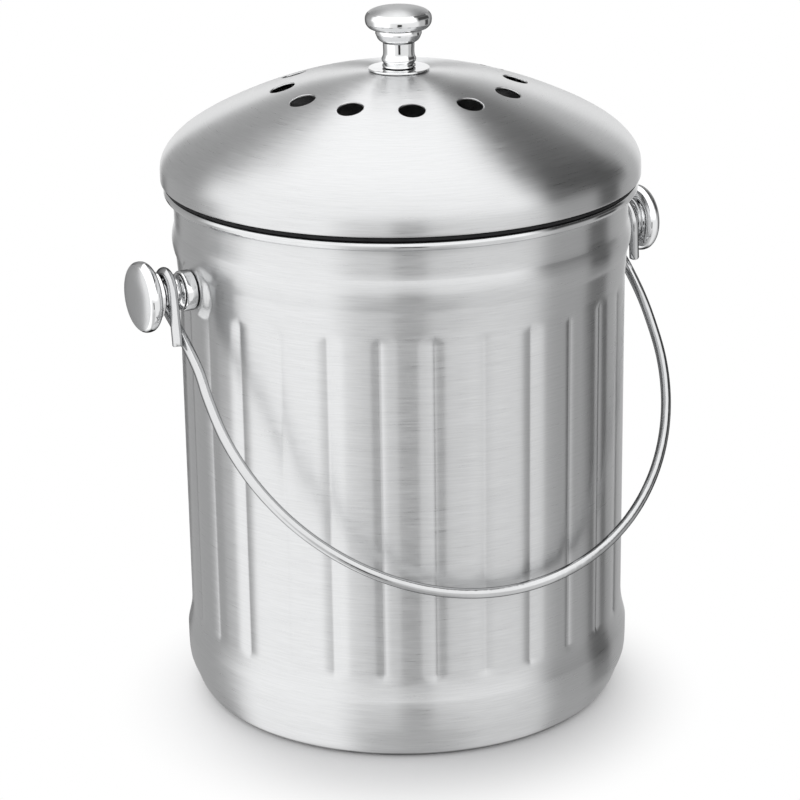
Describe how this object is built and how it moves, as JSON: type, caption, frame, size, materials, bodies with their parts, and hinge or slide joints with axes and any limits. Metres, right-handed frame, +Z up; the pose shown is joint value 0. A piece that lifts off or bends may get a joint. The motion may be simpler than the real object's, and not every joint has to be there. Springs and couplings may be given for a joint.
{
  "type": "kitchen compost pail",
  "caption": "Round stainless-steel kitchen pail with a lift-off vented domed lid, a charcoal filter under it and a wire bail on two turned side knobs.",
  "frame": {"origin": "centre of the flat underside", "axes": "+Z up, +X along the bail's pivot axis towards the right-hand knob, -Y towards the front where the bail rests"},
  "size_m": [0.2328, 0.1914, 0.2806],
  "materials": {
    "brushed_steel": "brushed round the pail, satin",
    "polished_steel": "mirror polished",
    "plain_steel": "plain, not polished",
    "black_rubber": "matte",
    "black_plastic": "fine matte grain",
    "charcoal_felt": "open fibrous felt"
  },
  "bodies": {
    "pail": {"pail_body": "brushed_steel", "left_knob": "polished_steel", "left_collar": "polished_steel", "left_seal_washer": "black_rubber", "left_inner_washer": "plain_steel", "left_screw": "plain_steel", "right_knob": "polished_steel", "right_collar": "polished_steel", "right_seal_washer": "black_rubber", "right_inner_washer": "plain_steel", "right_screw": "plain_steel"},
    "lid": {"lid_dome": "brushed_steel", "lid_skirt": "plain_steel", "lid_seal": "black_rubber", "lid_knob": "polished_steel", "lid_knob_washer": "polished_steel", "lid_inner_washer": "plain_steel", "lid_knob_screw": "plain_steel"},
    "filter": {"filter_tray": "black_plastic", "charcoal_filter": "charcoal_felt"},
    "bail": {"bail_handle": "polished_steel"}
  },
  "joints": [
    {"name": "bail_swing", "type": "hinge", "parent": "pail", "child": "bail", "pos_m": [0, 0, 0.1799], "axis": [-1, 0, 0], "range_deg": [-1.2, 279.5]},
    {"name": "lid_lift", "type": "slide", "parent": "pail", "child": "lid", "axis": [0, 0, 1], "range_m": [0, 0.12]},
    {"name": "filter_pull", "type": "slide", "parent": "lid", "child": "filter", "axis": [0, 0, -1], "range_m": [0, 0.06]}
  ]
}
